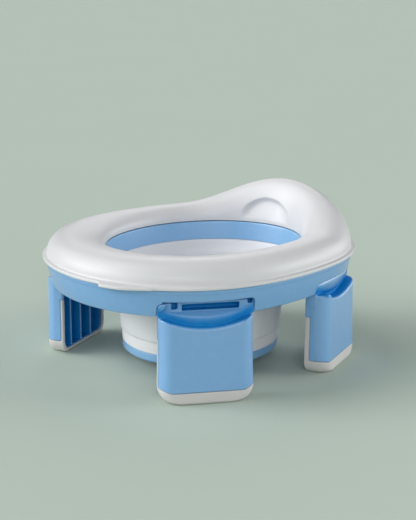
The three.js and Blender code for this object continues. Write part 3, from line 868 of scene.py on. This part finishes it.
def base_ring():
    frames = [(name.startswith("front"), *leg_frame(name)) for name in LEGS]
    ribs = [[part[0] for part in spokes(np.array([math.radians(deg)]))] for deg in RING_RIB_PHI]
    slope = (RING_IN_BOT - RING_IN_TOP) * 1.5 / (RING_TOP - RING_BOT)

    def field(x, y, z):
        depth = edge_depth(x, y)
        bore = ellipse(x, y - OPEN_Y, OPEN_B, OPEN_A)
        inset = ring_inset(z)
        stretch = np.sqrt(1 + slope**2 * ring_drop(z))
        outer = (inset - depth) / stretch
        wall = np.maximum(outer, (depth - inset - RING_T) / stretch)
        wall = rmax(wall, RING_BOT - z, 1.1)
        deck = np.maximum(outer, RING_TOP - DECK_T - z)
        ring = rmin(wall, deck, 1.5)
        # collar round the opening
        ring = rmin(ring, np.maximum(bore - 4.4, 88.4 - z), 1.0)
        inside = 9.6 - depth
        for start, direction, length in ribs:
            dx, dy = x - start[0], y - start[1]
            along = dx * direction[0] + dy * direction[1]
            across = -dx * direction[1] + dy * direction[0]
            rib = np.maximum(np.abs(across) - 0.9, 82 - z)
            rib = np.maximum(rib, np.maximum(inside, slab(along, 6, length - 3.0)))
            ring = rmin(ring, rib, 0.8)
        for front_leg, origin, normal, tangent in frames:
            dx, dy = x - origin[0], y - origin[1]
            out = dx * normal[0] + dy * normal[1]
            u = dx * tangent[0] + dy * tangent[1]
            ring = rmax(ring, -leg_window(out, u, z, front_leg), 0.6 if front_leg else 0.4)
            for side in (-1, 1):
                boss = rmax(slab(u * side, 40.7, 46.0), slab(z, 73.6, 92.0), 0.6)
                boss = rmax(boss, np.maximum(slab(out, -4.0, 6.0), inside), 0.4)
                ring = rmin(ring, boss, 0.6)
        ring = rmax(ring, z - RING_TOP, 0.4)
        return rmax(ring, 2.1 - bore, 0.5)

    points, quads = surface(field, (-128.2, -147.1, 71.3), (128.3, 147.2, 99.0), RING_CELL)
    quad_piece("base_ring_moulding", points, quads, "frame_blue", "base_ring", "base")


# ------------------------------------------------------------------ bowl
def opening_loop(inward, z):
    """Loop of points inward of the opening's edge."""
    start, direction, reach = spokes(turn(BOWL_STEPS))
    xy = start + direction * (reach + inward)[:, None]
    return np.column_stack([xy, np.full(BOWL_STEPS, z)])


def cup_loop(outward, z):
    """Loop of points outward of the cup's ellipse."""
    phi = turn(BOWL_STEPS)
    x, y = (CUP_B + outward) * np.sin(phi), CUP_Y - (CUP_A + outward) * np.cos(phi)
    return np.column_stack([x, y, np.full(BOWL_STEPS, z)])


def bowl_rim():
    bottom, step_z = RING_TOP + GAP, RING_TOP + GAP + 2
    # inward of the opening, z, rounding
    section = rounded_loop([
        (-8.5, bottom, 0.5), (-8.5, step_z, 0.6), (-1.6, step_z, 0.8), (-1.6, RIM_TOP, 1.2),
        (1.0, RIM_TOP, 1.3), (0.9 + RIM_TAPER, RIM_BOT, 0.5), (-1.5 + RIM_TAPER, RIM_BOT, 0.5),
        (-1.6, bottom, 0.5),
    ], 6)
    loops = [opening_loop(inward, z) for inward, z in resample(section, 2.0)]
    swept_piece("bowl_rim_moulding", np.stack(loops, 1), "bowl_blue", "bowl_rim", "bowl")


def bowl_wall():
    """Wall that blends from the opening's outline at the top to the cup's at the bottom."""
    # share of the opening's outline, z
    rows = catmull([
        (1, RIM_BOT - GAP), (0.9, 83.8), (0.5, 78), (0.36, 73), (0.15, 50), (0.0, FOLD_Z + 0.6),
    ], 8)
    thick, soften = 1.2, 0.25  # wall thickness, rounding at its two ends

    def blend(share, inward, z):
        cup = cup_loop(1.5 - inward, z)
        return cup + (opening_loop(RIM_TAPER - 1.4 + inward, z) - cup) * share

    last = len(rows) - 1
    ends = [soften if j in (0, last) else 0.0 for j in range(len(rows))]
    outer = [blend(share, end, z) for end, (share, z) in zip(ends, rows)]
    inner = [blend(share, thick - end, z) for end, (share, z) in zip(ends, rows)]
    share, z = rows[-1]
    tip = blend(share, thick / 2, z) - np.array([0, 0, soften])
    sections = np.stack(outer + [tip] + inner[::-1], 1)
    swept_piece("bowl_wall_moulding", sections, "bowl_white", "bowl_wall", "bowl")


def bowl_band():
    """Band of the cup below the wall; its outer face swells slightly under the fold."""
    low, high = BASE_TOP + GAP, FOLD_Z + 5.6
    # outward of the cup's ellipse, z, rounding
    section = rounded_loop([(-1.3, low, 0.3), (0, low, 0.4), (0, high, 0.5), (-1.3, high, 0.5)], 4)
    loops = []
    for outward, z in resample(section, 1.5):
        up = np.clip((z - BASE_TOP) / (FOLD_Z - BASE_TOP), 0, 1)
        swell = 0.28 * math.sin(up * math.pi) if outward > -0.6 else 0
        loops.append(cup_loop(outward + swell, z))
    swept_piece("bowl_band_moulding", np.stack(loops, 1), "bowl_white", "bowl_cup_wall", "cup")


def dish_profile():
    """Radius and z from the underside's middle, out round the wall, to the floor's middle."""
    segments = 6
    # radius, z, rounding
    loop = rounded_loop([
        (52, DISH_UNDER, 0.6), (54, BASE_BOT, 0.8), (64, BASE_BOT, 1.5),
        (CUP_A, BASE_BOT + 0.6, 3.0), (CUP_A, BASE_TOP, 0.8), (CUP_A - 2.6, BASE_TOP, 0.6),
        (CUP_A - 3.0, DISH_FLOOR, 3.5),
    ], segments)
    # start at the middle of the first rounded corner
    loop = np.roll(resample(loop, 2.0), -(segments // 2), axis=0)
    # drop the side that would close the loop between the floor and the underside
    wall = [(r, z) for r, z in loop if not (r < 60 and BASE_BOT + 1.6 < z < BASE_BOT + 3.7)]
    radii = (8, 20, 32, 44)
    return [(r, DISH_UNDER) for r in radii] + wall + [(r, DISH_FLOOR) for r in radii[::-1]]


def bowl_base():
    """Dish with a foot ring, on the cup's ellipse."""
    bm = bmesh.new()

    def vertex(r, z, angle):
        x, y = r * (CUP_B / CUP_A) * math.sin(angle), CUP_Y - r * math.cos(angle)
        return bm.verts.new((x / 1000, y / 1000, z / 1000))

    angles = [2 * math.pi * k / DISH_STEPS for k in range(DISH_STEPS)]
    rings = [[vertex(r, z, angle) for angle in angles] for r, z in dish_profile()]
    under, floor = vertex(0, DISH_UNDER, 0), vertex(0, DISH_FLOOR, 0)
    for k in range(DISH_STEPS):
        after = (k + 1) % DISH_STEPS
        bm.faces.new((under, rings[0][after], rings[0][k]))
        bm.faces.new((floor, rings[-1][k], rings[-1][after]))
        for ring, following in zip(rings, rings[1:]):
            bm.faces.new((ring[k], ring[after], following[after], following[k]))
    bmesh.ops.recalc_face_normals(bm, faces=bm.faces)
    mesh = bpy.data.meshes.new("bowl_base_moulding")
    bm.to_mesh(mesh)
    bm.free()
    finish_piece("bowl_base_moulding", mesh, "bowl_blue", "bowl_base", "cup")


# ------------------------------------------------------------------ stage, metres
# soft boxes: degrees round from the camera, positive to its right; degrees up; strength
SOFT_BOXES = (
    (-90, 12, 1.13), (-60, 25, 0.56), (-90, 30, 0.84), (-100, 55, 0.55), (-120, 30, 0.25),
    (0, 28, 0.84), (30, 12, 0.36), (90, 12, 0.85), (90, 30, 0.38), (120, 12, 0.74),
    (180, 30, 0.38),
)
# the camera's right and forward directions on the floor
CAMERA_RIGHT, CAMERA_FORWARD = Vector((0.6293, 0.7771, 0)), Vector((-0.7771, 0.6293, 0))


def floor_paint():
    material = bpy.data.materials.new("floor_paint")
    material.use_nodes = True
    tree = material.node_tree
    blotches = noise(tree, scale=3, detail=3, rough=0.5)
    feed(tree.nodes["Principled BSDF"], {
        "Base Color": mix(tree, blotches, rgba("BDCBC0"), rgba("BFCDC2")),
        "Roughness": 1.0,
        "Specular IOR Level": 0.0,
    })
    return material


def floor():
    mesh = bpy.data.meshes.new("floor")
    bm = bmesh.new()
    size, parts = 80, 8
    ticks = [-size / 2 + size * i / parts for i in range(parts + 1)]
    grid = [[bm.verts.new((x, y, 0)) for y in ticks] for x in ticks]
    for i, k in np.ndindex(parts, parts):
        bm.faces.new((grid[i][k], grid[i + 1][k], grid[i + 1][k + 1], grid[i][k + 1]))
    bm.to_mesh(mesh)
    bm.free()
    mesh.materials.append(floor_paint())
    place("floor", mesh)


def world():
    studio = bpy.data.worlds.new("studio")
    bpy.context.scene.world = studio
    studio.use_nodes = True
    feed(studio.node_tree.nodes["Background"], {"Color": (1.0, 1.0, 1.0, 1), "Strength": 0.04})


def lights():
    for k, (side, rise, strength) in enumerate(SOFT_BOXES):
        a, b = math.radians(side), math.radians(rise)
        level = CAMERA_FORWARD * -math.cos(a) + CAMERA_RIGHT * math.sin(a)
        toward = level * math.cos(b) + Vector((0, 0, 1)) * math.sin(b)
        light = bpy.data.lights.new("soft_box_%d" % k, "SUN")
        light.energy = strength
        light.angle = math.radians(34)
        obj = place("soft_box_%d" % k, light)
        obj.rotation_euler = (-toward).to_track_quat("-Z", "Y").to_euler()


def camera():
    data = bpy.data.cameras.new("camera")
    data.lens = 83.007
    data.sensor_width = 36
    data.sensor_fit = "AUTO"
    data.clip_start, data.clip_end = 0.05, 50
    obj = place("camera", data)
    obj.location = (0.825047, -0.661120, 0.361190)
    aim = Vector((-0.752324, 0.609220, -0.250718))
    obj.rotation_euler = aim.to_track_quat("-Z", "Y").to_euler()
    scene = bpy.context.scene
    scene.camera = obj
    scene.view_settings.view_transform = "Standard"
    scene.view_settings.look = "None"


materials()
seat()
legs()
base_ring()
bowl_rim()
bowl_wall()
bowl_band()
bowl_base()
hinge_pins()
floor()
world()
lights()
camera()
